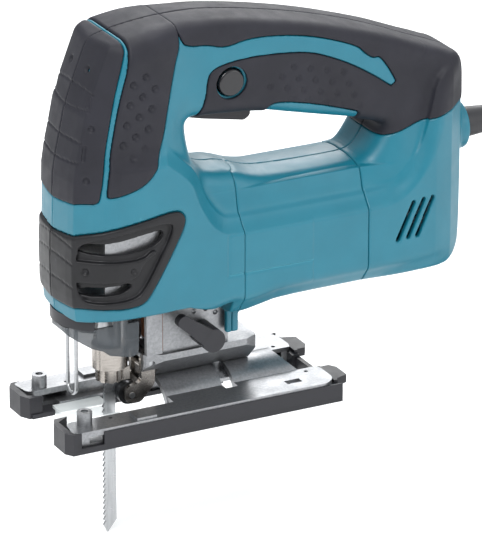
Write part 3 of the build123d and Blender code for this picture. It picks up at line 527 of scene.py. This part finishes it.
def rod(x, z, r, y_low):
    """A round bar across the tool, from y_low outwards."""
    return np.maximum(wide(np.hypot(XX - x, ZZ - z) - r), y_low - Y[None, :, None])


def button_bore(field, radius):
    return np.maximum(field, -rod(BUTTON_X, BUTTON_Z, radius, 8.0))


def screw_bores(field, radius):
    for x, z in SCREWS:
        field = np.maximum(field, -rod(x, z, radius, 12.0))
    return field


# ---------------------------------------------------------------- meshing
def surface(field):
    """Points in metres and quads of the field's zero surface, on the side Y >= 0."""
    grid = openvdb.FloatGrid(3 * H)
    grid.copyFromArray(np.clip(field, -3 * H, 3 * H).astype(np.float32), tolerance=0.0)
    points, quads = grid.convertToQuads(0.0)
    points = points * H + np.array([X0, Y0, Z0])
    return (points * MM).astype(np.float32), quads[:, ::-1].astype(np.int32)


def make_mesh(name, points, quads, mat, flip):
    """A smooth piece of the housing from a field's quads, mirrored for the left half."""
    if flip:
        points = points * np.array([1, -1, 1], np.float32)
        quads = quads[:, ::-1]
    mesh = bpy.data.meshes.new(name)
    mesh.vertices.add(len(points))
    mesh.vertices.foreach_set("co", points.ravel())
    mesh.loops.add(quads.size)
    mesh.loops.foreach_set("vertex_index", np.ascontiguousarray(quads).ravel())
    mesh.polygons.add(len(quads))
    mesh.polygons.foreach_set("loop_start", np.arange(0, quads.size, 4, dtype=np.int32))
    mesh.polygons.foreach_set("loop_total", np.full(len(quads), 4, np.int32))
    mesh.update(calc_edges=True)
    mesh.validate()
    mesh.shade_smooth()
    mesh.materials.append(mat)
    obj = bpy.data.objects.new(name, mesh)
    bpy.context.scene.collection.objects.link(obj)
    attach(obj, "housing")
    return obj


SEAM = 0.1 - Y[None, :, None]  # each half stops just short of the plane of symmetry
JOINT = 0.15  # the gap between the shells and the motor's casing


def piece(name, field, mat, node, side):
    points, quads = surface(np.maximum(field, SEAM))
    obj = make_mesh(name, points, quads, mat, side == "left")
    if node:
        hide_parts(node)
    return obj


barrel_zone = np.maximum(np.maximum(60.9 - x_line, x_line - 132.1), wide(ZZ) - 127.5)
shells = np.maximum(teal, -barrel_zone)
barrel_bore = np.maximum(np.sqrt(ax_y**2 + (Z[None, None, :] - MOTOR_Z) ** 2) - 27.0, x_line - 126.0)

left_shell = button_bore(shells, 7.6)
right_shell = screw_bores(shells, 3.6)
for side, field, node in (("left", left_shell, "housing_left"), ("right", right_shell, "housing_right")):
    piece("shell_" + side, field, TEAL, node, side)

motor_barrel = np.maximum(np.maximum(BODY, -panel_groove), -panel_bed)
motor_barrel = np.maximum(np.maximum(motor_barrel, barrel_zone + JOINT), -barrel_bore)
motor_barrel = np.maximum(motor_barrel, -Y[None, :, None])
motor_barrel = smin(motor_barrel, np.maximum(legs, 61.1 - x_line), 0.5)
points, quads = surface(motor_barrel)
for side in ("left", "right"):
    half = make_mesh("motor_barrel_" + side, points, quads, TEAL, side == "left")
    if side == "left":
        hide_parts("motor_housing")

nose_pad = pad(NOSE_PAD, 0.5, PAD_DEPTH)
side_pad = pad(SIDE_PAD, 0.6, PAD_DEPTH)
upper_pad = pad(UPPER_BLACK, 0.5, PAD_DEPTH)
guard_top = smax(BODY - 1.1, wide(GUARD), 1.2)
well = np.maximum(GUARD_RECESS, -GUARD_BAR)
guard_top = smax(guard_top, -np.maximum(wide(well), -(BODY + 1.3)), 0.8)
guard_back = wide(1.0 + 3.6 * step(-GUARD_RECESS, -2.0, -1.0)).astype(np.float32)
guard = np.maximum(guard_top, -(BODY + guard_back))
guard = smax(guard, -np.maximum(wide(GUARD_SLOTS), 12.0 - AY), 0.8)
dimple(guard, -1.5, 91.0, 1.7, 1.0)
dimple(guard, -24.6, 92.1, 1.7, 1.0)
FACET_HALF = 19.4  # half the width of the nose's front facet


def front_groove(field, height, drop, depth=0.6):
    """A fine line across the front facet that droops towards the facet's edge."""
    line = height - drop * (np.minimum(np.abs(Y), FACET_HALF) / FACET_HALF) ** 2
    band = np.abs(Z[None, None, :] - line[None, :, None]) - 0.42
    band = np.maximum(np.maximum(band, AY - FACET_HALF), wide(XX + 8.0))
    return np.maximum(field, -np.maximum(band, -(field + depth)))


for height, drop in ((184.2, 2.0), (173.4, -1.2), (158.6, 0.6), (147.2, -1.0)):
    nose_pad = front_groove(nose_pad, height, drop)
for height, drop in ((107.0, 3.0), (97.5, 2.4), (84.5, 1.8)):
    guard = front_groove(guard, height, drop, depth=0.35)
# the strip past the facet's edge: three dimples and two short slots
for x, z in ((-15.1, 192.8), (-19.4, 166.2), (-23.2, 139.8)):
    dimple(nose_pad, x, z, 1.5, 0.7)
for x, z in ((-18.6, 179.4), (-22.6, 153.4)):
    mark = np.hypot(XX - x - (ZZ - z) * 0.16, np.maximum(np.abs(ZZ - z) - 3.2, 0)) - 0.75
    slot_field = np.maximum(np.maximum(wide(mark), 17.5 - AY), -(BODY + 0.3))
    nose_pad = np.maximum(nose_pad, -slot_field)

# dimples of the side grip: a slanting lattice
for row in range(5):
    for column in range(3):
        if (row, column) not in ((0, 0), (4, 2)):
            dimple(side_pad, 15.5 - 6.9 * column - 2.0 * row, 193.9 - 3.3 * column - 10.2 * row, 1.75, 0.9)
# palm dimples: rows that step back along the handle
for row, first, last in ((0, 0, 4), (1, 0, 5), (2, 0, 6), (3, 2, 7)):
    for column in range(first, last):
        x = 93.3 + 9.5 * column - 6.6 * row
        z = 180.5 - 2.45 * column - 4.2 * row
        dimple(upper_pad, x, z, 1.75, 0.9 if row < 3 else 0.5)
pads = [
    ("nose_pad", nose_pad, "nose_grip"), ("side_pad", side_pad, None),
    ("handle_pad", upper_pad, "handle_grip"), ("vent_guard_shell", guard, "vent_guard")]
for name, field, node in pads:
    mat = BLACK if name == "vent_guard_shell" else RUBBER
    for side in ("left", "right"):
        own = field
        if name == "handle_pad":
            own = button_bore(field, 8.6) if side == "left" else screw_bores(field, 4.2)
            own = np.maximum(own, -cuboid(36, 78.6, -1, 8.4, 140, 163, 0.5))
        obj = piece(f"{name}_{side}", own, mat, f"{node}_{side}" if node else None, side)

# ---------------------------------------------------------------- floor and light
bpy.ops.mesh.primitive_plane_add(size=12.0, location=(0, 0, -0.0646))
floor = bpy.context.object
floor.name = "floor"
floor_mat, floor_tree, floor_bsdf = shader("floor")
floor_tree.links.new(mixed(floor_tree, noise(floor_tree, 0.6), (0.86, 0.86, 0.86), (0.88, 0.88, 0.88)),
                     floor_bsdf.inputs["Base Color"])
floor_bsdf.inputs["Roughness"].default_value = 0.9
floor_bsdf.inputs["Emission Color"].default_value = (1.0, 1.0, 1.0, 1.0)
floor_bsdf.inputs["Emission Strength"].default_value = 0.22
floor.data.materials.append(floor_mat)
floor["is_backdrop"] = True

world = bpy.data.worlds.new("studio")
bpy.context.scene.world = world
world.use_nodes = True
sky = world.node_tree
sky_coords = sky.nodes.new("ShaderNodeTexCoord")
sky_split = sky.nodes.new("ShaderNodeSeparateXYZ")
sky.links.new(sky_coords.outputs["Generated"], sky_split.inputs["Vector"])
sky_level = ranged(sky, sky_split.outputs["Z"], 0.28, 1.0, 0.0, 0.55)
sky.links.new(sky_level, sky.nodes["Background"].inputs["Strength"])
sky.nodes["Background"].inputs["Color"].default_value = (0.95, 0.975, 1.0, 1.0)


def area_light(name, place, aim, size, power, colour=(1, 1, 1)):
    data = bpy.data.lights.new(name, "AREA")
    data.shape = "RECTANGLE"
    data.size, data.size_y = size
    data.energy = power
    data.color = colour
    obj = bpy.data.objects.new(name, data)
    bpy.context.scene.collection.objects.link(obj)
    obj.location = place
    obj.rotation_mode = "QUATERNION"
    obj.rotation_quaternion = (Vector(aim) - Vector(place)).to_track_quat("-Z", "Y")


area_light("key", (-0.9, -0.9, 1.5), (0.06, 0, 0.1), (0.9, 0.9), 22)
area_light("fill", (1.3, -1.4, 0.7), (0.08, 0, 0.1), (1.2, 1.2), 9)
area_light("top", (0.2, 0.3, 1.7), (0.08, 0, 0.1), (1.2, 0.8), 12)
area_light("rim", (0.9, 1.3, 0.9), (0.08, 0, 0.12), (0.8, 0.8), 10)
bpy.context.scene.view_settings.view_transform = "Standard"

low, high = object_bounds()
